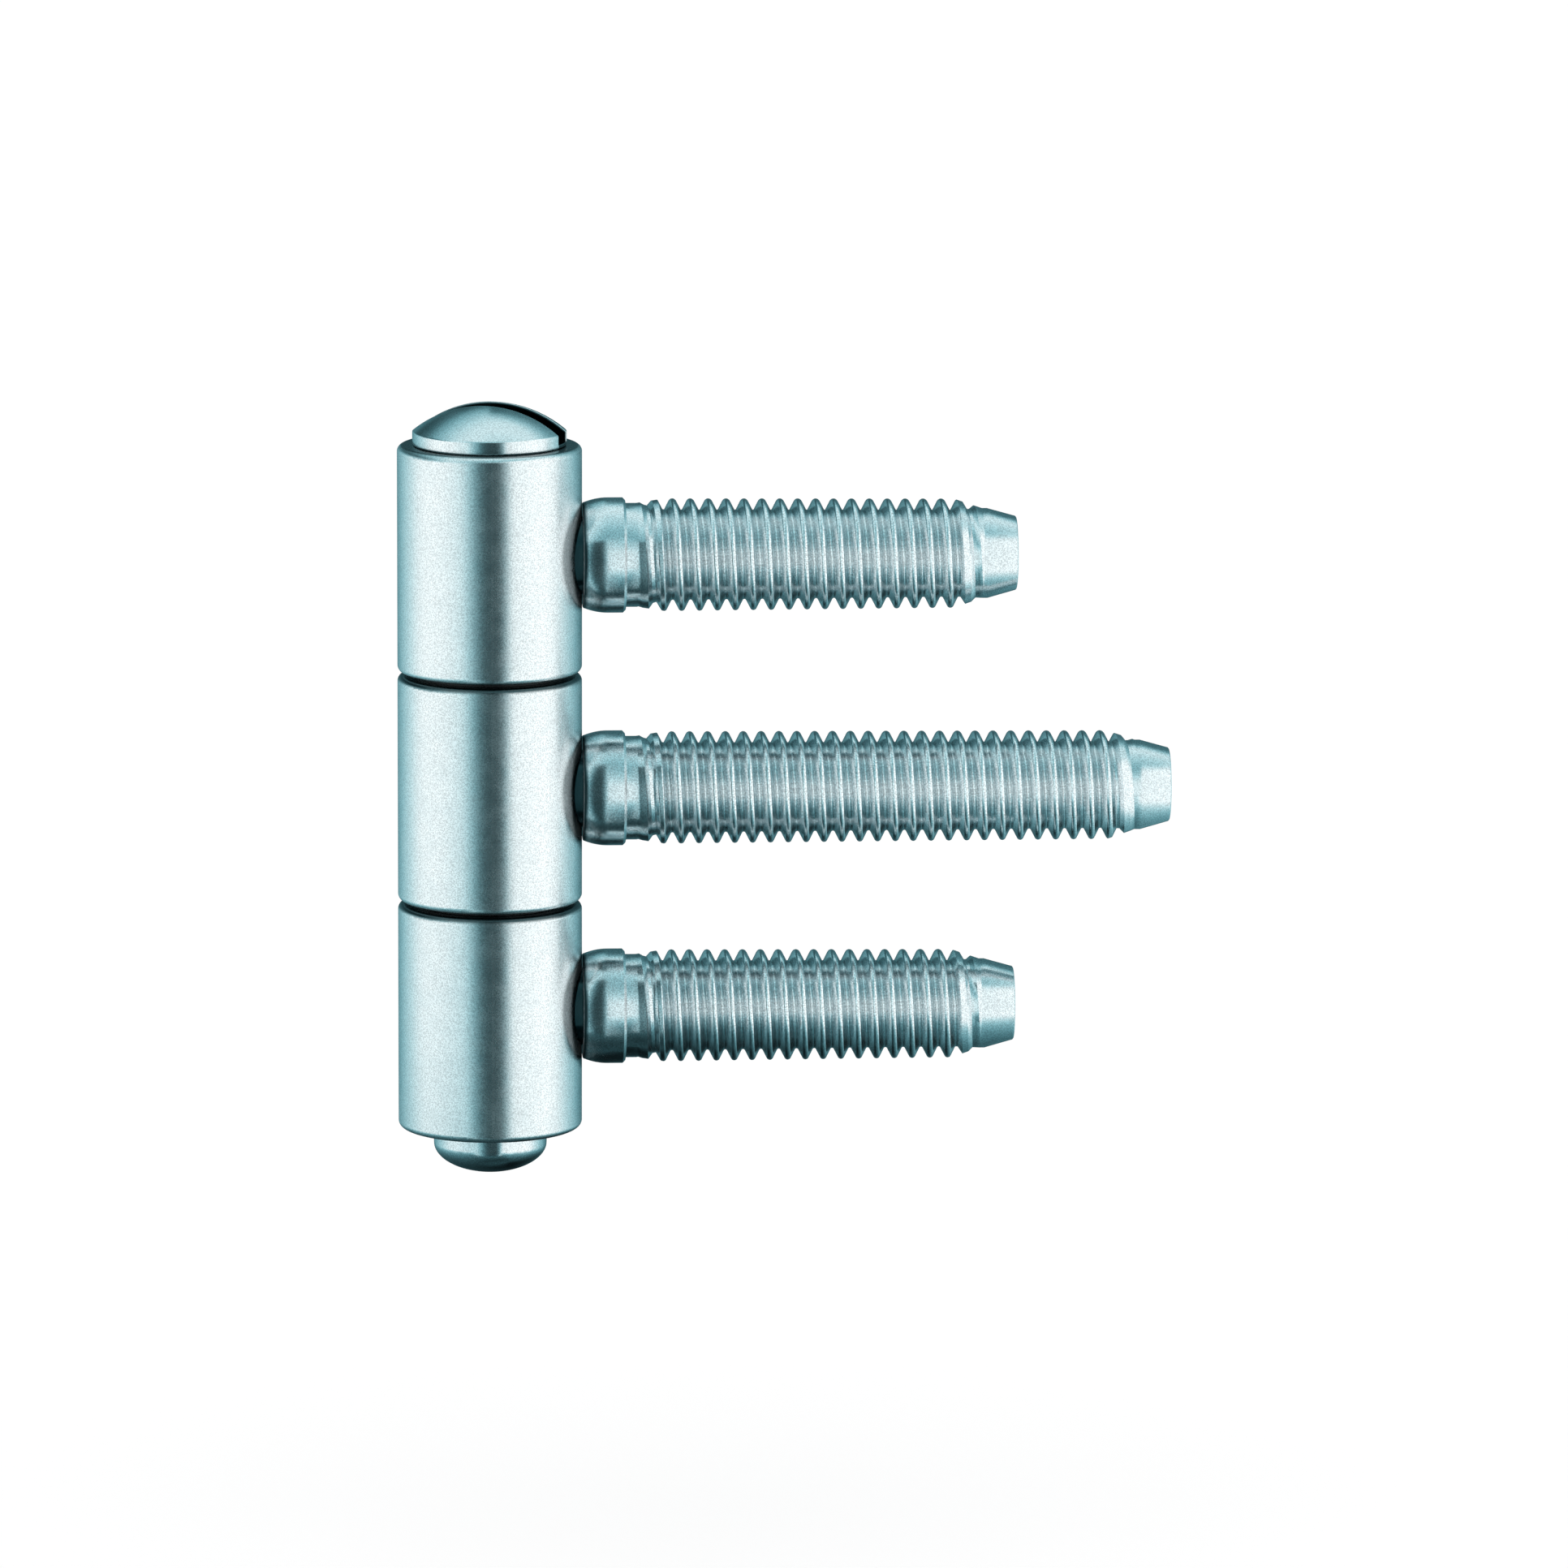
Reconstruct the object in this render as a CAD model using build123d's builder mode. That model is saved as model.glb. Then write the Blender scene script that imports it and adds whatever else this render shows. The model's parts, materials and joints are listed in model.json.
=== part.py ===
# Drill-in hinge for a door or window leaf: two outer knuckles and a middle one on a shared pin,
# each carried by a threaded shank. Millimetres, +Z up along the pin. The shanks point along +X.
# The origin lies on the middle shank's axis, where its thread begins.
from build123d import *
import os

os.makedirs("parts", exist_ok=True)

# Knuckles
BARREL_D = 13.0  # outside of all three knuckles
KNUCKLE_H = 16.1  # height of each knuckle
KNUCKLE_GAP = 0.25  # open gap between two knuckles
EDGE_R = 0.45  # rounding of a knuckle's outer edges
BORE_CHAMFER = 0.3  # lead-in at both ends of a bore
UPPER_SHANK_RISE = 0.15  # shank axes, each above the middle of its own knuckle
MIDDLE_SHANK_RISE = -0.15
LOWER_SHANK_RISE = 0.5

# Pin and domed cap
PIN_D = 8.0
PIN_PLAY = 0.03  # radial running clearance round the pin
TIP_SIDE_H = 1.2  # straight side of the pin's end below the lower knuckle
TIP_ROUND_H = 2.05  # height of the half ellipse that closes the pin
PIN_TOP_SINK = 0.2  # how far the pin's upper face lies under the cap
PIN_CHAMFER = 0.3
CAP_D = 10.85
CAP_RIM_H = 0.95  # straight rim under the crown
CAP_CROWN_H = 2.0  # crown above the rim
CAP_EDGE_R = 0.12  # rounding between rim and crown
CAP_SEAT_PLAY = 0.02  # cap above the upper knuckle's face
SLOT_W = 2.0
SLOT_FLOOR_H = 0.3  # slot floor above the cap's underside
SLOT_EDGE_R = 0.12  # rounding where the slot's walls meet the crown
SLOT_ANGLE = -17.0  # slot direction in plan, from +X
STUD_D = 5.0  # threaded stud under the cap, drawn at its major diameter
STUD_L = 6.0
STUD_CHAMFER = 0.5
STUD_PLAY = 0.05  # radial clearance in the pin's tapped hole
STUD_END_ROOM = 1.5  # tapped hole beyond the stud
DRILL_POINT_H = 1.4  # cone left by the drill

# Flanged bushes in the middle knuckle
BUSH_D = 9.6
BUSH_L = 4.9  # sleeve length inside the knuckle, with its flange seat
BUSH_FIT = 0.01  # radial clearance of a bush in its seat
FLANGE_D = 10.6
FLANGE_SEAT_H = 0.5  # counterbore that takes most of the flange
THRUST_PLAY = 0.03  # flange to the next knuckle
BUSH_CHAMFER = 0.25

# Shanks
SPIGOT_D = 5.5  # pressed into the knuckle's wall
SPIGOT_FIT = 0.01
SPIGOT_SET_BACK = 0.1  # spigot end behind the bore's surface
COLLAR_SEAT_GAP = 0.03  # collar face to the round of the knuckle
COLLAR_D = 8.12
COLLAR_L = 3.0
COLLAR_NOSE_D = 7.9  # collar at its rounded inner edge
COLLAR_NOSE_R = 0.35
COLLAR_CROWN_L = 1.1  # length over which the collar swells to its full diameter
COLLAR_CHAMFER = 0.18
NECK_D = 7.3
NECK_L = 0.8
RUN_IN_L = 0.4  # cone from the neck up to the thread
THREAD_D = 7.9  # major diameter of the 8 mm thread
RUN_OUT_L = 2.0  # stretch where the crests die away
RUN_OUT_D = 6.8
LAND_D = 6.36  # plain land and cone at the tip
LAND_L = 0.9
POINT_L = 2.05
POINT_D = 5.2
OUTER_REACH = 30.6  # tip of an outer shank from its knuckle's surface
MIDDLE_REACH = 41.55

# Places worked out from the sizes above
HEAD_L = COLLAR_SEAT_GAP + COLLAR_L + NECK_L + RUN_IN_L  # knuckle surface to thread
PIN_X = -(BARREL_D / 2 + HEAD_L)
MIDDLE_Z = -(KNUCKLE_H / 2 + MIDDLE_SHANK_RISE)  # lower faces of the knuckles
UPPER_Z = MIDDLE_Z + KNUCKLE_H + KNUCKLE_GAP
LOWER_Z = MIDDLE_Z - KNUCKLE_GAP - KNUCKLE_H
TOP_Z = UPPER_Z + KNUCKLE_H
PIN_BORE_D = PIN_D + 2 * PIN_PLAY
FLANGE_H = FLANGE_SEAT_H + KNUCKLE_GAP - THRUST_PLAY
PIN_PLANE = Plane(origin=(PIN_X, 0, 0))  # horizontal, centred on the pin
PIN_SECTION = Plane(origin=(PIN_X, 0, 0), x_dir=(1, 0, 0), z_dir=(0, -1, 0))  # upright


def save(piece, name):
    """Labels a finished piece and writes it as its own file."""
    piece.part.label = name
    export_step(piece.part, f"parts/{name}.step")


def knuckle(floor_z, shank_rise, bore_d, seat_d=0.0, seat_h=0.0):
    """A turned barrel with its through bore, flange seats if any, and the hole for its shank."""
    with BuildPart() as barrel:
        with BuildSketch(PIN_PLANE.offset(floor_z)):
            Circle(BARREL_D / 2)
            Circle(bore_d / 2, mode=Mode.SUBTRACT)
        extrude(amount=KNUCKLE_H)
        outer_edges = barrel.edges().filter_by(GeomType.CIRCLE).sort_by(SortBy.RADIUS)[-2:]
        fillet(outer_edges, radius=EDGE_R)
        if seat_h:
            for seat_z in (floor_z, floor_z + KNUCKLE_H - seat_h):
                with BuildSketch(PIN_PLANE.offset(seat_z)):
                    Circle(seat_d / 2)
                extrude(amount=seat_h, mode=Mode.SUBTRACT)
        else:
            level_edges = barrel.edges().filter_by(GeomType.CIRCLE).filter_by(Plane.XY)
            chamfer(level_edges.group_by(SortBy.RADIUS)[0], length=BORE_CHAMFER)
        with BuildSketch(shank_plane(floor_z + KNUCKLE_H / 2 + shank_rise)):
            Circle(SPIGOT_D / 2 + SPIGOT_FIT)
        extrude(amount=BARREL_D / 2, mode=Mode.SUBTRACT)
    return barrel


def shank_plane(z):
    """Plane across a shank's axis, centred on the pin and facing along +X."""
    return Plane(origin=(PIN_X, 0, z), x_dir=(0, 1, 0), z_dir=(1, 0, 0))


def shank(floor_z, rise, reach, bore_d):
    """A turned shank: spigot, crowned collar, neck, thread at its major diameter and pointed tip."""
    z = floor_z + KNUCKLE_H / 2 + rise
    face = BARREL_D / 2 + COLLAR_SEAT_GAP  # collar face, measured from the pin's axis
    shoulder = face + COLLAR_L
    tip = BARREL_D / 2 + reach
    cone = tip - POINT_L
    run_out_end = cone - LAND_L
    run_out = run_out_end - RUN_OUT_L
    with BuildPart() as turned:
        with BuildSketch(Plane(origin=(PIN_X, 0, z), x_dir=(1, 0, 0), z_dir=(0, -1, 0))):
            with BuildLine():
                Polyline((0, 0), (0, SPIGOT_D / 2), (face, SPIGOT_D / 2))
                Line((face, SPIGOT_D / 2), (face, COLLAR_NOSE_D / 2 - COLLAR_NOSE_R))
                RadiusArc(
                    (face, COLLAR_NOSE_D / 2 - COLLAR_NOSE_R),
                    (face + COLLAR_NOSE_R, COLLAR_NOSE_D / 2),
                    COLLAR_NOSE_R,
                )
                TangentArc(
                    (face + COLLAR_CROWN_L, COLLAR_D / 2),
                    (face + COLLAR_NOSE_R, COLLAR_NOSE_D / 2),
                    tangent=(1, 0),
                    tangent_from_first=False,
                )
                Polyline(
                    (face + COLLAR_CROWN_L, COLLAR_D / 2),
                    (shoulder - COLLAR_CHAMFER, COLLAR_D / 2),
                    (shoulder, COLLAR_D / 2 - COLLAR_CHAMFER),
                    (shoulder, NECK_D / 2),
                    (shoulder + NECK_L, NECK_D / 2),
                    (shoulder + NECK_L + RUN_IN_L, THREAD_D / 2),
                    (run_out, THREAD_D / 2),
                    (run_out_end, RUN_OUT_D / 2),
                    (run_out_end, LAND_D / 2),
                    (cone, LAND_D / 2),
                    (tip, POINT_D / 2),
                    (tip, 0),
                    (0, 0),
                )
            make_face()
        revolve(axis=Axis((PIN_X, 0, z), (1, 0, 0)))
        # The knuckle is bored after its shank is pressed in, so the spigot ends in the bore's round.
        with BuildSketch(PIN_PLANE.offset(z - SPIGOT_D)):
            Circle(bore_d / 2 + SPIGOT_SET_BACK)
        extrude(amount=2 * SPIGOT_D, mode=Mode.SUBTRACT)
    return turned


def bush(seat_z, outward):
    """A flanged bush whose flange faces the way of outward, +1 for up and -1 for down."""
    with BuildPart() as sleeve:
        with BuildSketch(PIN_PLANE.offset(seat_z)):
            Circle(FLANGE_D / 2 - BUSH_FIT)
        extrude(amount=outward * FLANGE_H)
        with BuildSketch(PIN_PLANE.offset(seat_z)):
            Circle(BUSH_D / 2 - BUSH_FIT)
        extrude(amount=-outward * (BUSH_L - FLANGE_SEAT_H))
        inner_end = sleeve.edges().filter_by(GeomType.CIRCLE).sort_by(Axis.Z)[0 if outward > 0 else -1]
        chamfer(inner_end, length=BUSH_CHAMFER)
        with BuildSketch(PIN_PLANE.offset(seat_z - outward * BUSH_L)):
            Circle(PIN_BORE_D / 2)
        extrude(amount=outward * (BUSH_L + FLANGE_H), mode=Mode.SUBTRACT)
    return sleeve


# Upper knuckle, middle knuckle with its flange seats, and lower knuckle
save(knuckle(UPPER_Z, UPPER_SHANK_RISE, PIN_BORE_D), "upper_knuckle")
save(knuckle(MIDDLE_Z, MIDDLE_SHANK_RISE, BUSH_D, FLANGE_D, FLANGE_SEAT_H), "middle_knuckle")
save(knuckle(LOWER_Z, LOWER_SHANK_RISE, PIN_BORE_D), "lower_knuckle")

# One threaded shank for each knuckle
save(shank(UPPER_Z, UPPER_SHANK_RISE, OUTER_REACH, PIN_BORE_D), "upper_shank")
save(shank(MIDDLE_Z, MIDDLE_SHANK_RISE, MIDDLE_REACH, BUSH_D), "middle_shank")
save(shank(LOWER_Z, LOWER_SHANK_RISE, OUTER_REACH, PIN_BORE_D), "lower_shank")

# Bushes, pressed into the middle knuckle from both ends
save(bush(MIDDLE_Z + KNUCKLE_H - FLANGE_SEAT_H, 1), "upper_bush")
save(bush(MIDDLE_Z + FLANGE_SEAT_H, -1), "lower_bush")

# Hinge pin: tapped at its upper end for the cap, closed by a half ellipse below the lower knuckle
pin_top = TOP_Z - PIN_TOP_SINK
side_end = LOWER_Z - TIP_SIDE_H
hole_floor = TOP_Z + CAP_SEAT_PLAY - STUD_L - STUD_END_ROOM
hole_r = STUD_D / 2 + STUD_PLAY
with BuildPart() as hinge_pin:
    with BuildSketch(PIN_SECTION):
        with BuildLine():
            Polyline(
                (0, side_end - TIP_ROUND_H),
                (0, hole_floor - DRILL_POINT_H),
                (hole_r, hole_floor),
                (hole_r, pin_top),
                (PIN_D / 2 - PIN_CHAMFER, pin_top),
                (PIN_D / 2, pin_top - PIN_CHAMFER),
                (PIN_D / 2, side_end),
            )
            EllipticalCenterArc((0, side_end), PIN_D / 2, TIP_ROUND_H, start_angle=270, arc_size=90)
        make_face()
    revolve(axis=Axis((PIN_X, 0, 0), (0, 0, 1)))
save(hinge_pin, "hinge_pin")

# Domed cap: a screw with a low crown, a straight rim and a driver slot across it
cap_z = TOP_Z + CAP_SEAT_PLAY
rim_top = cap_z + CAP_RIM_H
crown_top = rim_top + CAP_CROWN_H
stud_end = cap_z - STUD_L
with BuildPart() as dome_cap:
    with BuildSketch(PIN_SECTION):
        with BuildLine():
            Polyline(
                (0, crown_top),
                (0, stud_end),
                (STUD_D / 2 - STUD_CHAMFER, stud_end),
                (STUD_D / 2, stud_end + STUD_CHAMFER),
                (STUD_D / 2, cap_z),
                (CAP_D / 2, cap_z),
                (CAP_D / 2, rim_top),
            )
            TangentArc((0, crown_top), (CAP_D / 2, rim_top), tangent=(1, 0))
        make_face()
    revolve(axis=Axis((PIN_X, 0, 0), (0, 0, 1)))
    level_edges = dome_cap.edges().filter_by(GeomType.CIRCLE).filter_by(Plane.XY)
    rim_edges = level_edges.group_by(SortBy.RADIUS)[-1]
    fillet(rim_edges, radius=CAP_EDGE_R)
    with BuildSketch(PIN_PLANE.offset(cap_z + SLOT_FLOOR_H)):
        Rectangle(CAP_D, SLOT_W, rotation=SLOT_ANGLE)
    extrude(amount=CAP_RIM_H + CAP_CROWN_H, mode=Mode.SUBTRACT)
    crown_edges = dome_cap.edges().sort_by(Axis.Z)[-2:]
    fillet(crown_edges, radius=SLOT_EDGE_R)
save(dome_cap, "dome_cap")
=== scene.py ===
# Looks of a drill-in hinge: plated steel knuckles, a slotted domed cap and three threaded shanks,
# on a pale floor under soft studio light. Metres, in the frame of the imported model: +Z runs up along
# the hinge pin and +X along the shanks. Sizes named below are in millimetres.
import json
import math

import bmesh
import bpy
from mathutils import Matrix, Vector

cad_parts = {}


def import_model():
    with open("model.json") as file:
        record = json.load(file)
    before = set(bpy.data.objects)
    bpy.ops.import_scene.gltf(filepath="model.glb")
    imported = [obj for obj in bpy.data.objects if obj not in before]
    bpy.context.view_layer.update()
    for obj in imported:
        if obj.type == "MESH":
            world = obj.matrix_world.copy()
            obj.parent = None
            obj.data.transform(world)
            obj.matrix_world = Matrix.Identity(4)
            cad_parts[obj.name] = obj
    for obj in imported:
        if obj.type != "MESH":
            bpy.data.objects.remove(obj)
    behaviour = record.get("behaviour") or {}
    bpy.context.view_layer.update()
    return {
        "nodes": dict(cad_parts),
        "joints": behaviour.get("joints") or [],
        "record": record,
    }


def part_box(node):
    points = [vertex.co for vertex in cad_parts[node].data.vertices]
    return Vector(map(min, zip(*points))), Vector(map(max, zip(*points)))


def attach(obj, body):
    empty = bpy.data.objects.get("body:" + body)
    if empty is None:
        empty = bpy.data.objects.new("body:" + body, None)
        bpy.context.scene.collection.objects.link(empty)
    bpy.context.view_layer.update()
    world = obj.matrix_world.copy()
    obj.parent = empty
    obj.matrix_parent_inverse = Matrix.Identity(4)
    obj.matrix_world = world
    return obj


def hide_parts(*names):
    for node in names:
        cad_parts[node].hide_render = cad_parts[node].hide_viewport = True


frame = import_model()

MM = 0.001

# Camera
CAMERA_TARGET_X = 20.785  # to the right of the pin's axis
CAMERA_TARGET_Z = 0.19
CAMERA_DISTANCE = 800.0
CAMERA_YAW = 3.2  # degrees that the camera stands to the left of square
CAMERA_RISE = 10.4  # degrees above the horizon
CAMERA_ROLL = 0.2
VIEW_WIDTH = 110.8  # what the frame takes in at the target
SENSOR_WIDTH = 36.0
CLIP_START = 0.01
CLIP_END = 50

# Shanks
TURN_SEGMENTS = 96  # facets round a shank
SPIGOT_R = 2.75  # plain end inside the knuckle
SPIGOT_START = 5.0  # from the pin's axis
COLLAR_GAP = 0.03  # collar face to the round of the knuckle
COLLAR_L = 3.0
COLLAR_R = 4.06
COLLAR_NOSE_R = 0.12  # rounding of the collar's inner edge
COLLAR_NOSE_RADIUS = 3.74  # collar's radius where that rounding ends
COLLAR_CROWN_L = 1.75  # length over which the collar swells
COLLAR_CHAMFER = 0.18
NECK_R = 3.66  # plain part between the collar and the thread
NECK_L = 0.8
PITCH = 1.263
THREAD_START_R = 3.97  # crest at the neck and at the tip: the thread tapers slightly
THREAD_END_R = 3.85
THREAD_DEPTH = 0.79
ROOT_R = 0.13  # rounding of the groove's floor
FLANK_ANGLE = 27.0
ARC_STEPS = 6  # facets of a crest's or a root's rounding
RUN_IN_L = 2.0  # length over which the thread rises out of the neck
RUN_OUT_L = 2.0  # length over which it dies away into the land
LAND_R = 3.17  # plain part between the thread and the point
LAND_L = 0.35
POINT_L = 2.05
POINT_R = 2.6  # at the blunt end of the point
POINT_EDGE = 0.06  # small break of the tip's edge
CROWN_STEPS = 8  # facets of the collar's swelling
CREST_FROM_PIN = 12.9  # a crest on top of each shank, measured from the pin's axis
MERGE_LENGTH = 0.0005  # points closer than this are welded
SHARP_ANGLE = 35  # degrees above which an edge is shaded sharp


def node(tree, kind, inputs=None, **settings):
    """Adds a shader node. An input is a value, or the socket that feeds it."""
    made = tree.nodes.new(kind)
    for name, value in settings.items():
        setattr(made, name, value)
    for name, value in (inputs or {}).items():
        if isinstance(value, bpy.types.NodeSocket):
            tree.links.new(value, made.inputs[name])
        else:
            made.inputs[name].default_value = value
    return made


def empty_material(name):
    """A new material with nothing in its node tree."""
    material = bpy.data.materials.new(name)
    material.use_nodes = True
    material.node_tree.nodes.clear()
    return material


# Materials

GRAIN_SIZE = 0.1 * MM
GRAIN_LIMITS = (0.38, 0.6)  # noise at which the grain is darkest and lightest
GRAIN_HEIGHT = 0.004 * MM
CLOUD_SIZE = 1.6 * MM
CLOUD_LIMITS = (0.3, 0.7)
CLOUD_GLOSS = 0.04  # how far the clouds shift the roughness either way
SKIN_SIZE = 0.2 * MM  # features of moulded plastic
SKIN_HEIGHT = 0.01 * MM
SKIN_TONES = (0.8, 1.3)  # darkest and lightest, as a share of the plastic's colour
OPENNESS_SAMPLES = 8
# Colour of the painted shade in crevices, joints, the cap's slot and behind the collars.
PAINTED_SHADE_TONE = (0.03, 0.06, 0.066, 1.0)
# Pale matt tone painted on the collar's flat rear face: painted light that lifts its reflection in the
# knuckle.
MATT_TONE = (0.7, 0.76, 0.78, 1.0)

# Rise of the normal, from -1 for down to 1 for up, between which the painted shade sets in.
NOT_DOWN = (-0.35, -0.05)
ON_TOP = (0.8, 0.97)
TOP_SHADE = 0.8  # most painted shade that a knuckle's top face gets
# Painted shade on the up-facing roundings of the middle and lower knuckles, and its most.
ON_SHOULDER = (0.05, 0.65)
SHOULDER_SHADE = 0.92
REAR_FACE = (-0.99, -0.95)  # how far the normal points to -X on the collar's flat face

SLOT_ANGLE = -17  # direction of the cap's slot in plan, from +X
SLOT_HALF = 1.01  # from the slot's middle to its edge
SLOT_LIP = 0.07  # width over which the slot's painted shade thins out
SHELTER = (0.1, 0.36)  # where the painted shade behind a collar thins out, from the collar's face


def blend(tree, factor, first, second):
    """Mixes two colours, each a value or a socket."""
    mix = node(tree, "ShaderNodeMix", {"Factor": factor}, data_type="RGBA")
    for place, colour in ((6, first), (7, second)):
        if isinstance(colour, bpy.types.NodeSocket):
            tree.links.new(colour, mix.inputs[place])
        else:
            mix.inputs[place].default_value = colour
    return mix.outputs[2]


def remap(tree, value, low, high, to_low=0.0, to_high=1.0, interpolation="LINEAR"):
    """Maps low..high to to_low..to_high."""
    limits = {"Value": value, "From Min": low, "From Max": high, "To Min": to_low, "To Max": to_high}
    return node(
        tree, "ShaderNodeMapRange", limits, interpolation_type=interpolation
    ).outputs["Result"]


def math_node(tree, operation, first, second=0.0, clamp=False):
    """The result of a math node."""
    return node(
        tree, "ShaderNodeMath", {0: first, 1: second}, operation=operation, use_clamp=clamp
    ).outputs[0]


def noise(tree, size, detail, roughness):
    """Noise with features of the given size, in the piece's own coordinates."""
    place = node(tree, "ShaderNodeTexCoord").outputs["Object"]
    inputs = {"Vector": place, "Scale": 1 / size, "Detail": detail, "Roughness": roughness}
    return node(tree, "ShaderNodeTexNoise", inputs).outputs["Fac"]


def openness(tree, reach, closed, open_above):
    """0 in crevices and 1 in the open, by how much of the surroundings within reach is free."""
    free = node(
        tree, "ShaderNodeAmbientOcclusion", {"Distance": reach}, samples=OPENNESS_SAMPLES
    ).outputs["AO"]
    return remap(tree, free, closed, open_above, interpolation="SMOOTHSTEP")


def facing(tree, low, high, share=1.0):
    """0 where the normal rises less than low, and share where it rises more than high."""
    normal = node(tree, "ShaderNodeNewGeometry").outputs["Normal"]
    rise = node(tree, "ShaderNodeSeparateXYZ", {0: normal}).outputs[2]
    return remap(tree, rise, low, high, 0.0, share, interpolation="SMOOTHSTEP")


def in_slot(tree):
    """1 on the walls and the floor of the cap's slot, which get painted shade, and 0 on its crown."""
    axes = node(tree, "ShaderNodeTexCoord").outputs["Object"]
    x, y, z = node(tree, "ShaderNodeSeparateXYZ", {0: axes}).outputs
    across = math.radians(SLOT_ANGLE + 90)
    pin = frame["joints"][0]["pos_m"]
    part_x = math_node(tree, "MULTIPLY", math_node(tree, "SUBTRACT", x, pin[0]), math.cos(across))
    part_y = math_node(tree, "MULTIPLY", math_node(tree, "SUBTRACT", y, pin[1]), math.sin(across))
    away = math_node(tree, "ABSOLUTE", math_node(tree, "ADD", part_x, part_y))
    return remap(tree, away, SLOT_HALF * MM, (SLOT_HALF + SLOT_LIP) * MM, 1.0, 0.0)


def metal(name, colour, roughness, grain, relief, crevice, more_shade=None, matt=None):
    """Plated steel: a sandy grain in tone and relief, cloudy gloss, and painted shade that darkens
    crevices which don't face down. crevice holds the reach and the two limits of openness. The
    last two arguments are functions that add nodes to a tree, for the share of painted shade
    elsewhere and the share that is made matt and painted pale."""
    material = empty_material(name)
    tree = material.node_tree
    fine = noise(tree, GRAIN_SIZE, 2.0, 0.6)
    cloud = noise(tree, CLOUD_SIZE, 3.0, 0.55)
    light = tuple(colour) + (1.0,)
    dark = tuple(c * (1 - grain) for c in colour) + (1.0,)
    grained = blend(tree, remap(tree, fine, *GRAIN_LIMITS), dark, light)
    # Painted shade: darker where ambient occlusion finds the surroundings closing in, unless the face
    # points down.
    hollow = math_node(tree, "SUBTRACT", 1.0, openness(tree, *crevice))
    painted_shade = math_node(tree, "MULTIPLY", hollow, facing(tree, *NOT_DOWN))
    if more_shade:
        painted_shade = math_node(tree, "MAXIMUM", painted_shade, more_shade(tree))
    base = blend(tree, painted_shade, grained, PAINTED_SHADE_TONE)
    metallic = 1.0
    if matt:
        dull = matt(tree)
        base = blend(tree, dull, base, MATT_TONE)
        metallic = math_node(tree, "SUBTRACT", 1.0, dull)
    bump = node(
        tree, "ShaderNodeBump", {"Height": fine, "Strength": relief, "Distance": GRAIN_HEIGHT}
    )
    smooth, rough = roughness - CLOUD_GLOSS, roughness + CLOUD_GLOSS
    surface = node(
        tree, "ShaderNodeBsdfPrincipled",
        {
            "Base Color": base,
            "Metallic": metallic,
            "Roughness": remap(tree, cloud, *CLOUD_LIMITS, smooth, rough),
            "Normal": bump.outputs["Normal"],
        },
    )
    node(tree, "ShaderNodeOutputMaterial", {"Surface": surface.outputs["BSDF"]})
    return material


def on_top(tree):
    """Painted shade on a knuckle's top face."""
    return facing(tree, *ON_TOP, share=TOP_SHADE)


def on_shoulder(tree):
    """Painted shade on the rounding under a joint."""
    return facing(tree, *ON_SHOULDER, share=SHOULDER_SHADE)


def behind_collar(tree):
    """Painted shade on a shank's spigot and on the inner edge of its collar, which blackens the gap
    against the knuckle.
    """
    axes = node(tree, "ShaderNodeTexCoord").outputs["Object"]
    x = node(tree, "ShaderNodeSeparateXYZ", {0: axes}).outputs[0]
    near, far = (collar_face + limit * MM for limit in SHELTER)
    return remap(tree, x, near, far, 1.0, 0.0)


def rear_face(tree):
    """1 on the collar's flat face beside the knuckle, painted pale and matt so that the knuckle
    reflects it light rather than a dark crevice.
    """
    normal = node(tree, "ShaderNodeTexCoord").outputs["Normal"]
    x = node(tree, "ShaderNodeSeparateXYZ", {0: normal}).outputs[0]
    return remap(tree, x, *REAR_FACE, 1.0, 0.0)


def plastic(name, colour, roughness):
    """Moulded plastic with a fine skin."""
    material = empty_material(name)
    tree = material.node_tree
    skin = noise(tree, SKIN_SIZE, 3.0, 0.5)
    dark, light = (tuple(share * c for c in colour) + (1.0,) for share in SKIN_TONES)
    bump = node(
        tree, "ShaderNodeBump", {"Height": skin, "Strength": 0.3, "Distance": SKIN_HEIGHT}
    )
    surface = node(
        tree, "ShaderNodeBsdfPrincipled",
        {
            "Base Color": blend(tree, skin, dark, light),
            "Roughness": roughness,
            "Normal": bump.outputs["Normal"],
        },
    )
    node(tree, "ShaderNodeOutputMaterial", {"Surface": surface.outputs["BSDF"]})
    return material


collar_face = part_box("middle_knuckle")[1].x + COLLAR_GAP * MM
# Shaded copies of one satin plating: the upper knuckle's gets painted shade on its top face, the
# others on the roundings under the joints.
top_satin = metal(
    "satin_plating_top", (0.97, 0.985, 0.99), roughness=0.27, grain=0.34, relief=0.4,
    crevice=(0.9 * MM, 0.35, 0.8), more_shade=on_top,
)
satin = metal(
    "satin_plating", (0.97, 0.985, 0.99), roughness=0.27, grain=0.34, relief=0.4,
    crevice=(0.9 * MM, 0.66, 1.0), more_shade=on_shoulder,
)
zinc = metal(
    "bright_zinc", (0.93, 0.97, 0.985), roughness=0.19, grain=0.36, relief=0.4,
    crevice=(1.6 * MM, 0.14, 0.45), more_shade=behind_collar, matt=rear_face,
)
cap_metal = metal(
    "cap_plating", (0.93, 0.96, 0.97), roughness=0.19, grain=0.32, relief=0.3,
    crevice=(1.0 * MM, 0.25, 0.7), more_shade=in_slot,
)
pin_metal = metal(
    "pin_plating", (0.95, 0.97, 0.98), roughness=0.19, grain=0.32, relief=0.3,
    crevice=(1.0 * MM, 0.38, 0.82),
)
moulded = plastic("dark_moulding", (0.025, 0.028, 0.03), roughness=0.45)

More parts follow.
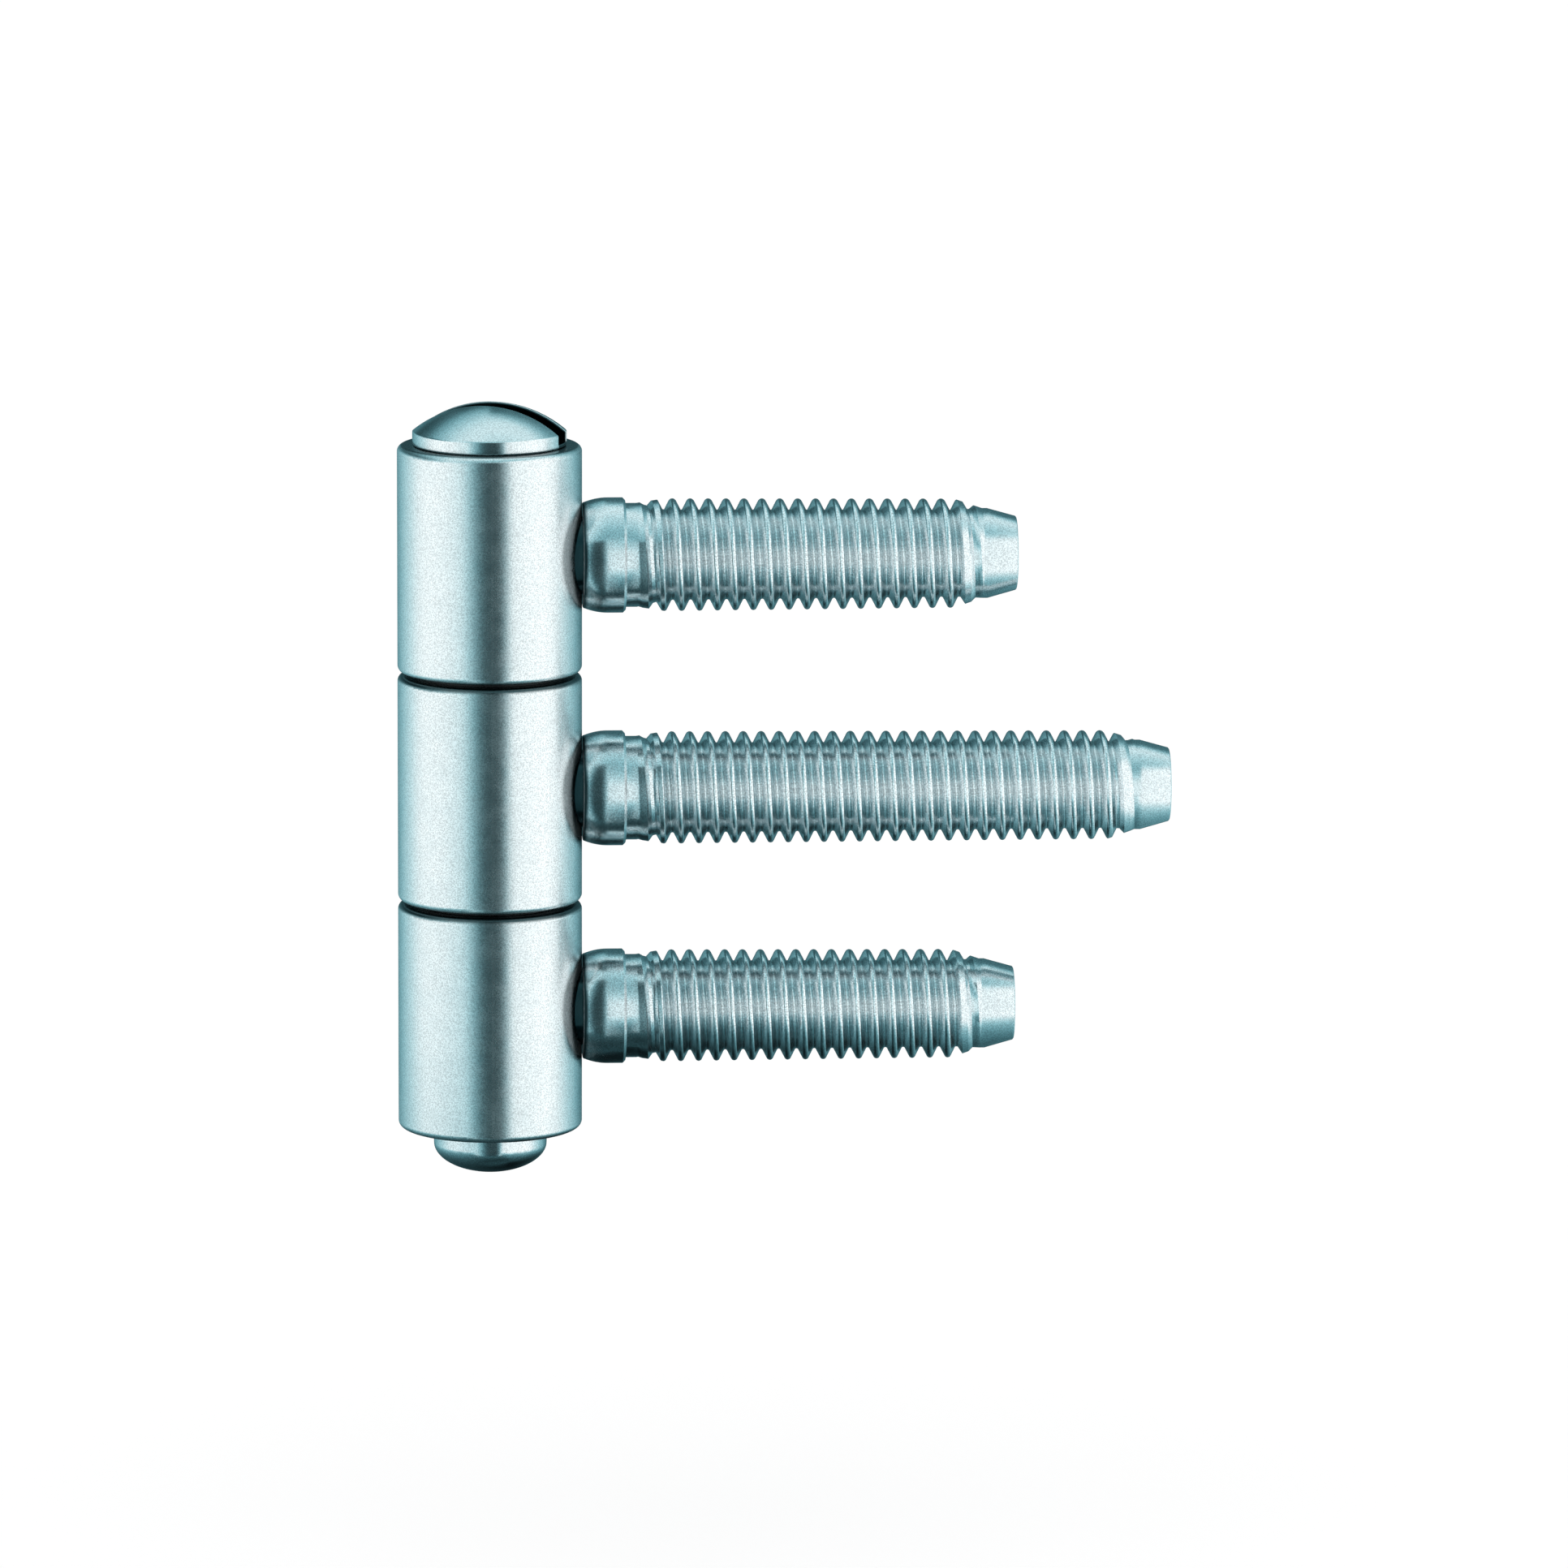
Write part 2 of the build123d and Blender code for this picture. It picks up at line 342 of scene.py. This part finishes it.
NODE_FINISH = {
    "upper_knuckle": top_satin,
    "middle_knuckle": satin,
    "lower_knuckle": satin,
    "hinge_pin": pin_metal,
    "dome_cap": cap_metal,
    "upper_bush": moulded,
    "lower_bush": moulded,
}
for node_name, finish in NODE_FINISH.items():
    frame["nodes"][node_name].material_slots[0].material = finish


# Threaded shanks

def arc(centre, radius, start, end, steps):
    """Points of an arc in a shank's section, with angles in degrees from the axis direction."""
    angles = [math.radians(start + (end - start) * i / steps) for i in range(steps + 1)]
    return [(centre[0] + radius * math.cos(a), centre[1] + radius * math.sin(a)) for a in angles]


def crest_radius():
    """Rounding of a crest that makes crest, flanks and root fill one pitch."""
    t = math.tan(math.radians(FLANK_ANGLE))
    half_width = math.cos(math.radians(FLANK_ANGLE))
    drop = 1 - math.sin(math.radians(FLANK_ANGLE))
    both = (PITCH / 2 - THREAD_DEPTH * t) / (half_width - drop * t)
    return both - ROOT_R


def groove_stations():
    """One pitch of the thread's section from crest to crest: offset along the axis and depth."""
    crest_r = crest_radius()
    tilt = 90 - FLANK_ANGLE
    points = []
    for i in range(ARC_STEPS + 1):
        a = math.radians(tilt * i / ARC_STEPS)
        points.append((crest_r * math.sin(a), crest_r * (1 - math.cos(a))))
    for i in range(2 * ARC_STEPS + 1):
        a = math.radians(tilt * (1 - i / ARC_STEPS))
        points.append((PITCH / 2 - ROOT_R * math.sin(a), THREAD_DEPTH - ROOT_R * (1 - math.cos(a))))
    for i in range(ARC_STEPS):
        a = math.radians(tilt * (1 - i / ARC_STEPS))
        points.append((PITCH - crest_r * math.sin(a), crest_r * (1 - math.cos(a))))
    return points


def ramp(x, x0, x1, y0, y1):
    """y0 up to x0, y1 from x1 on, and straight between them."""
    share = min(max((x - x0) / (x1 - x0), 0.0), 1.0)
    return y0 + (y1 - y0) * share


def thread_radius(x, depth, start, end):
    """Radius of the thread at x, where the section lies depth below the crest. The thread rises out
    of the neck at start and dies away into the land at end."""
    full = start + RUN_IN_L
    fading = end - RUN_OUT_L
    crest = ramp(x, full, fading, THREAD_START_R, THREAD_END_R)
    top = min(ramp(x, start, full, NECK_R, crest), ramp(x, fading, end, crest, LAND_R))
    floor = crest - THREAD_DEPTH
    floor = max(floor, ramp(x, start, full, NECK_R, floor), ramp(x, fading, end, floor, LAND_R))
    return min(top, max(crest - depth, floor))


def thread_rows(start, end, crest_x):
    """Rings of the thread from start to end, sheared along the helix, as (x, radius) for each
    vertex. crest_x is a crest on the top of the shank."""
    stations = groove_stations()
    first = math.floor((start - crest_x) / PITCH) - 2
    last = math.ceil((end - crest_x) / PITCH) + 1
    rows = []
    for turn in range(first, last + 1):
        for offset, depth in stations:
            row = []
            for j in range(TURN_SEGMENTS):
                x = crest_x + (turn + j / TURN_SEGMENTS) * PITCH + offset
                x = min(max(x, start), end)
                row.append((x, thread_radius(x, depth, start, end)))
            rows.append(row)
    return rows, len(stations)


def head_section(pin_x, face, neck_end):
    """Section of a shank from its spigot to the end of its neck."""
    shoulder = face + COLLAR_L
    nose = (face + COLLAR_NOSE_R, COLLAR_NOSE_RADIUS - COLLAR_NOSE_R)
    crown = []
    for i in range(1, CROWN_STEPS + 1):
        share = i / CROWN_STEPS
        x = face + COLLAR_NOSE_R + (COLLAR_CROWN_L - COLLAR_NOSE_R) * share
        swell = 1 - (1 - share) ** 2
        crown.append((x, COLLAR_NOSE_RADIUS + (COLLAR_R - COLLAR_NOSE_RADIUS) * swell))
    return [
        (pin_x + SPIGOT_START, SPIGOT_R),
        (face, SPIGOT_R),
        *arc(nose, COLLAR_NOSE_R, 180, 90, ARC_STEPS),
        *crown,
        (shoulder - COLLAR_CHAMFER, COLLAR_R),
        (shoulder, COLLAR_R - COLLAR_CHAMFER),
        (shoulder, NECK_R),
        (neck_end, NECK_R),
    ]


def tip_section(thread_end, tip):
    """Section of a shank from the end of its thread to the tip."""
    return [
        (thread_end, LAND_R),
        (tip - POINT_L, LAND_R),
        (tip - POINT_EDGE, POINT_R + POINT_EDGE / 4),
        (tip, POINT_R - POINT_EDGE),
    ]


def turned_point(x, radius, j, axis_z):
    """A point at segment j round a shank's axis; the segments start on top."""
    a = 2 * math.pi * j / TURN_SEGMENTS
    return (x * MM, -radius * MM * math.sin(a), axis_z + radius * MM * math.cos(a))


def turn_section(bm, section, axis_z):
    """Revolves a section, and returns its rings."""
    rings = []
    for x, radius in section:
        rings.append([
            bm.verts.new(turned_point(x, radius, j, axis_z)) for j in range(TURN_SEGMENTS)
        ])
    for a, b in zip(rings, rings[1:]):
        for j in range(TURN_SEGMENTS):
            k = (j + 1) % TURN_SEGMENTS
            bm.faces.new((a[j], a[k], b[k], b[j]))
    return rings


def close_end(bm, ring):
    """Closes a ring with a fan."""
    middle = sum((v.co for v in ring), Vector()) / len(ring)
    centre = bm.verts.new(middle)
    for j in range(TURN_SEGMENTS):
        bm.faces.new((ring[j], ring[(j + 1) % TURN_SEGMENTS], centre))


def wind_thread(bm, start, end, crest_x, axis_z):
    """Builds the thread's surface. At the seam each row joins the row one turn further on."""
    rows, per_turn = thread_rows(start, end, crest_x)
    grid = []
    for row in rows:
        grid.append([
            bm.verts.new(turned_point(x, radius, j, axis_z)) for j, (x, radius) in enumerate(row)
        ])
    for i in range(len(grid) - 1):
        ahead = i + per_turn
        for j in range(TURN_SEGMENTS):
            if j + 1 < TURN_SEGMENTS:
                corners = (grid[i][j], grid[i][j + 1], grid[i + 1][j + 1], grid[i + 1][j])
            elif ahead + 1 < len(grid):
                corners = (grid[i][j], grid[ahead][0], grid[ahead + 1][0], grid[i + 1][j])
            else:
                continue
            places = [v.co.x for v in corners]
            if max(places) - min(places) > MERGE_LENGTH * MM:
                bm.faces.new(corners)


def finished_mesh(bm, name):
    """Welds and shades a mesh, and reports any edge that doesn't join two faces."""
    bmesh.ops.remove_doubles(bm, verts=bm.verts, dist=MERGE_LENGTH * MM)
    bmesh.ops.dissolve_degenerate(bm, edges=bm.edges, dist=MERGE_LENGTH * MM)
    loose = [v for v in bm.verts if not v.link_faces]
    bmesh.ops.delete(bm, geom=loose, context="VERTS")
    bmesh.ops.recalc_face_normals(bm, faces=bm.faces)
    for face in bm.faces:
        face.smooth = True
    for edge in bm.edges:
        if len(edge.link_faces) == 2 and edge.calc_face_angle() > math.radians(SHARP_ANGLE):
            edge.smooth = False
    open_edges = sum(1 for edge in bm.edges if len(edge.link_faces) != 2)
    print(f"{name}: {len(bm.faces)} faces, {open_edges} open edges")
    mesh = bpy.data.meshes.new(name)
    bm.to_mesh(mesh)
    bm.free()
    return mesh


def shank(side):
    """A turned shank with its rolled thread, in place of the plain CAD one."""
    name = f"{side}_shank_threaded"
    mount = next(m for m in frame["record"]["mounts"] if m["name"] == f"{side}_thread")
    axis_z = mount["pos_m"][2]
    pin_x = frame["joints"][0]["pos_m"][0] / MM
    face = collar_face / MM
    neck_end = face + COLLAR_L + NECK_L
    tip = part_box(f"{side}_shank")[1].x / MM
    thread_end = tip - POINT_L - LAND_L

    bm = bmesh.new()
    head = turn_section(bm, head_section(pin_x, face, neck_end), axis_z)
    close_end(bm, head[0])
    wind_thread(bm, neck_end, thread_end, pin_x + CREST_FROM_PIN, axis_z)
    tail = turn_section(bm, tip_section(thread_end, tip), axis_z)
    close_end(bm, tail[-1])
    mesh = finished_mesh(bm, name)
    mesh.materials.append(zinc)

    piece = bpy.data.objects.new(name, mesh)
    bpy.context.scene.collection.objects.link(piece)
    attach(piece, side)
    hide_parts(f"{side}_shank")


for side in ("upper", "middle", "lower"):
    shank(side)


# Stage, light and camera

FLOOR_Z = -57.5 * MM
FLOOR_HALF = 4.0
FLOOR_TONE = (0.8, 0.8, 0.8, 1.0)
FLOOR_LIFT = 0.34  # glow that brings the lit floor up to white
WHITE = (1.0, 1.0, 1.0, 1.0)
WORLD_LIGHT = 0.85  # even light on matt surfaces
TENT_RADIUS = 0.5
TENT_RINGS = 48
TENT_SEGMENTS = 96
TENT_FLOOR_Z = FLOOR_Z + 0.5 * MM
BRIGHTEST = 1.4  # the ramps hold tones as a share of this
TINT_STOPS = 10

# Channels of a studio tone by its level: factors of 1, level and level squared.
RED = (0.45, 0.25, 0.3)
GREEN = (1.38, -0.42, 0.12)
BLUE_TO_GREEN = (1.18, -0.17, 0.0)

# Tone of the tent at the height of the horizon, by azimuth in degrees: 0 is the camera's side and
# 90 the side that the shanks point to.
HORIZON = (
    (-180, 0.09), (-165, 0.20), (-146, 0.36), (-130, 0.56), (-118, 0.72), (-104, 0.92),
    (-92, 1.06), (-73, 1.06), (-54, 0.95), (-37, 0.84), (-12, 0.90), (8, 0.92), (16, 0.95),
    (26, 1.0), (37, 1.04), (60, 1.13), (72, 1.18), (84, 1.06), (97, 0.86), (111, 0.66), (128, 0.40),
    (154, 0.13), (180, 0.09),
)

# Tone of the tent over the top, by the angle up from the front horizon: 90 is straight up and 180
# the rear horizon.
OVERHEAD = (
    (0, 0.92), (18, 0.86), (33, 0.60), (50, 0.36), (62, 0.44), (78, 0.62), (93, 0.74),
    (105, 0.84), (118, 0.80), (126, 0.68), (134, 0.52), (142, 0.33), (150, 0.10), (160, 0.05),
    (180, 0.05),
)
TAKEOVER = (4, 26)  # degrees of elevation between which the second ramp takes over
SIDE = (8, 28)  # azimuths between which the side that the tips face sets in
SIDE_RISE = 34  # how much higher the takeover is on that side
SIDE_DROP = 0.4  # share of it by which the light reaches lower there
REAR_LEFT = 0.95  # how much sooner the light overhead ends on the other side

# What is left of the tone below the horizon, by elevation in degrees.
BELOW = (
    (-90, 0.05), (-72, 0.03), (-56, 0.08), (-42, 0.18), (-30, 0.42), (-22, 0.75), (-14, 1.0),
    (0, 1.0),
)

# Flag close in front of the knuckles, which they reflect as a dark streak: tone by X.
FLAG_Y = -22.5
FLAG_LOW = -40.0
FLAG_HIGH = 33.0
FLAG = (
    (-24.0, 0.78), (-21.6, 0.62), (-18.8, 0.35), (-16.2, 0.12), (-13.5, 0.04), (-7.0, 0.03),
    (-5.0, 0.10), (-3.8, 0.40), (-2.9, 0.74), (-2.3, 0.90),
)


def mesh_object(name, vertices, faces, material):
    """A mesh of the stage, linked to the scene."""
    mesh = bpy.data.meshes.new(name)
    mesh.from_pydata(vertices, [], faces)
    mesh.materials.append(material)
    made = bpy.data.objects.new(name, mesh)
    bpy.context.scene.collection.objects.link(made)
    return made


def only_reflected(thing):
    """Hides a stage object from everything but reflections."""
    thing.visible_camera = False
    thing.visible_diffuse = False
    thing.visible_transmission = False
    thing.visible_volume_scatter = False
    thing.visible_shadow = False


def seen_directly(tree):
    """1 for camera, glossy and transmission rays, 0 for the rays that carry diffuse light."""
    path = node(tree, "ShaderNodeLightPath")
    two = math_node(tree, "ADD", path.outputs["Is Camera Ray"], path.outputs["Is Glossy Ray"])
    return math_node(tree, "ADD", two, path.outputs["Is Transmission Ray"], clamp=True)


def tone_ramp(tree, value, stops, divisor=BRIGHTEST):
    """Levels from (place, level) stops along value, as a share of divisor."""
    low, high = stops[0][0], stops[-1][0]
    ramp_node = node(tree, "ShaderNodeValToRGB", {"Fac": remap(tree, value, low, high)})
    elements = ramp_node.color_ramp.elements
    elements.remove(elements[0])
    for i, (place, level) in enumerate(stops):
        element = elements[0] if i == 0 else elements.new((place - low) / (high - low))
        element.position = (place - low) / (high - low)
        share = level / divisor
        element.color = (share, share, share, 1.0)
    return ramp_node.outputs["Color"]


def tint(level):
    """A studio tone: a cool white at 1 and above, turning to teal as it gets darker."""
    t = min(level, 1.0)
    red, green, blue_to_green = (
        a + b * t + c * t * t for a, b, c in (RED, GREEN, BLUE_TO_GREEN)
    )
    return (level * red, level * green, level * green * blue_to_green)


def tinted(tree, share):
    """Turns a share of the brightest tone into its studio colour."""
    ramp_node = node(tree, "ShaderNodeValToRGB", {"Fac": share})
    elements = ramp_node.color_ramp.elements
    elements.remove(elements[0])
    for i in range(TINT_STOPS + 1):
        element = elements[0] if i == 0 else elements.new(i / TINT_STOPS)
        element.position = i / TINT_STOPS
        colour = tint(BRIGHTEST * i / TINT_STOPS)
        element.color = tuple(c / BRIGHTEST for c in colour) + (1.0,)
    return ramp_node.outputs["Color"]


def glow_material(name, tree_colour):
    """An emission material. tree_colour adds nodes to a tree and returns their colour."""
    material = empty_material(name)
    tree = material.node_tree
    emission = node(
        tree, "ShaderNodeEmission", {"Color": tree_colour(tree), "Strength": BRIGHTEST}
    )
    node(tree, "ShaderNodeOutputMaterial", {"Surface": emission.outputs[0]})
    return material


def floor():
    """A wide pale floor that keeps a soft shadow."""
    material = empty_material("pale_floor")
    tree = material.node_tree
    matt = node(tree, "ShaderNodeBsdfDiffuse", {"Color": FLOOR_TONE}).outputs[0]
    lift = math_node(tree, "MULTIPLY", seen_directly(tree), FLOOR_LIFT)
    glow = node(tree, "ShaderNodeEmission", {"Color": WHITE, "Strength": lift}).outputs[0]
    both = node(tree, "ShaderNodeAddShader", {0: matt, 1: glow}).outputs[0]
    node(tree, "ShaderNodeOutputMaterial", {"Surface": both})
    h = FLOOR_HALF
    corners = [(-h, -h, FLOOR_Z), (h, -h, FLOOR_Z), (h, h, FLOOR_Z), (-h, h, FLOOR_Z)]
    mesh_object("floor", corners, [(0, 1, 2, 3)], material)


def world():
    """White for what is seen directly, and an even light for the rest."""
    made = bpy.data.worlds.new("studio")
    made.use_nodes = True
    tree = made.node_tree
    tree.nodes.clear()
    white = node(tree, "ShaderNodeBackground", {"Color": WHITE, "Strength": 1.0})
    soft = node(tree, "ShaderNodeBackground", {"Color": WHITE, "Strength": WORLD_LIGHT})
    mixed = node(
        tree, "ShaderNodeMixShader",
        {0: seen_directly(tree), 1: soft.outputs[0], 2: white.outputs[0]},
    )
    node(tree, "ShaderNodeOutputWorld", {"Surface": mixed.outputs[0]})
    bpy.context.scene.world = made


def slope(tree, rise, run):
    """The angle of rise over run, in degrees."""
    return math_node(tree, "DEGREES", math_node(tree, "ARCTAN2", rise, run))


def tent_colour(tree):
    """Colour of the tent's fabric by direction from the object."""
    place = node(tree, "ShaderNodeTexCoord").outputs["Object"]
    x, y, z = node(tree, "ShaderNodeSeparateXYZ", {0: place}).outputs
    forward = math_node(tree, "MULTIPLY", y, -1.0)
    flat = node(tree, "ShaderNodeCombineXYZ", {0: x, 1: y}).outputs[0]
    reach = node(tree, "ShaderNodeVectorMath", {0: flat}, operation="LENGTH").outputs["Value"]

    azimuth = slope(tree, x, forward)
    elevation = slope(tree, z, reach)
    leftward = math_node(tree, "MULTIPLY", math_node(tree, "MINIMUM", x, 0.0), REAR_LEFT)
    over = slope(tree, z, math_node(tree, "ADD", forward, leftward))
    rise = remap(tree, azimuth, *SIDE, 0, SIDE_RISE, interpolation="SMOOTHSTEP")
    height = math_node(tree, "SUBTRACT", elevation, rise)
    high = remap(tree, height, *TAKEOVER, interpolation="SMOOTHSTEP")
    level = blend(tree, high, tone_ramp(tree, azimuth, HORIZON), tone_ramp(tree, over, OVERHEAD))
    lowered = math_node(tree, "ADD", elevation, math_node(tree, "MULTIPLY", rise, SIDE_DROP))
    remaining = tone_ramp(tree, lowered, BELOW, divisor=1.0)
    return tinted(tree, math_node(tree, "MULTIPLY", level, remaining))


def tent():
    """A studio tent that only reflections show, resting on the floor."""
    vertices = []
    for i in range(TENT_RINGS + 1):
        elevation = math.radians(-90 + 180 * i / TENT_RINGS)
        rise = math.sin(elevation)
        reach = min(TENT_RADIUS, TENT_FLOOR_Z / rise) if rise < 0 else TENT_RADIUS
        for j in range(TENT_SEGMENTS):
            azimuth = 2 * math.pi * j / TENT_SEGMENTS
            flat = reach * math.cos(elevation)
            vertices.append((flat * math.sin(azimuth), -flat * math.cos(azimuth), reach * rise))
    faces = []
    for i in range(TENT_RINGS):
        for j in range(TENT_SEGMENTS):
            a = i * TENT_SEGMENTS + j
            b = i * TENT_SEGMENTS + (j + 1) % TENT_SEGMENTS
            faces.append((a, b, b + TENT_SEGMENTS, a + TENT_SEGMENTS))
    only_reflected(mesh_object("tent", vertices, faces, glow_material("tent_fabric", tent_colour)))


def flag_colour(tree):
    """Tone of the flag across its width."""
    place = node(tree, "ShaderNodeTexCoord").outputs["Object"]
    x = node(tree, "ShaderNodeSeparateXYZ", {0: place}).outputs[0]
    stops = [(at * MM, level) for at, level in FLAG]
    return tinted(tree, tone_ramp(tree, x, stops))


def flag():
    """An upright flag close in front of the knuckles, which only reflections show."""
    left, right = FLAG[0][0] * MM, FLAG[-1][0] * MM
    y, low, high = FLAG_Y * MM, FLAG_LOW * MM, FLAG_HIGH * MM
    corners = [(left, y, low), (right, y, low), (right, y, high), (left, y, high)]
    material = glow_material("flag", flag_colour)
    only_reflected(mesh_object("front_flag", corners, [(0, 1, 2, 3)], material))


def camera():
    """The photograph's viewpoint."""
    pin = frame["joints"][0]["pos_m"]
    target = Vector((pin[0] + CAMERA_TARGET_X * MM, pin[1], CAMERA_TARGET_Z * MM))
    yaw, rise = math.radians(CAMERA_YAW), math.radians(CAMERA_RISE)
    forward = Vector((
        math.sin(yaw) * math.cos(rise), math.cos(yaw) * math.cos(rise), -math.sin(rise)
    ))
    data = bpy.data.cameras.new("camera")
    data.sensor_width = SENSOR_WIDTH
    data.lens = SENSOR_WIDTH * CAMERA_DISTANCE / VIEW_WIDTH
    data.clip_start = CLIP_START
    data.clip_end = CLIP_END
    made = bpy.data.objects.new("camera", data)
    bpy.context.scene.collection.objects.link(made)
    aim = forward.to_track_quat("-Z", "Y").to_matrix().to_4x4()
    roll = Matrix.Rotation(math.radians(CAMERA_ROLL), 4, "Z")
    place = Matrix.Translation(target - forward * CAMERA_DISTANCE * MM)
    made.matrix_world = place @ aim @ roll
    bpy.context.scene.camera = made


floor()
world()
tent()
flag()
camera()

bpy.context.scene.view_settings.view_transform = "Standard"
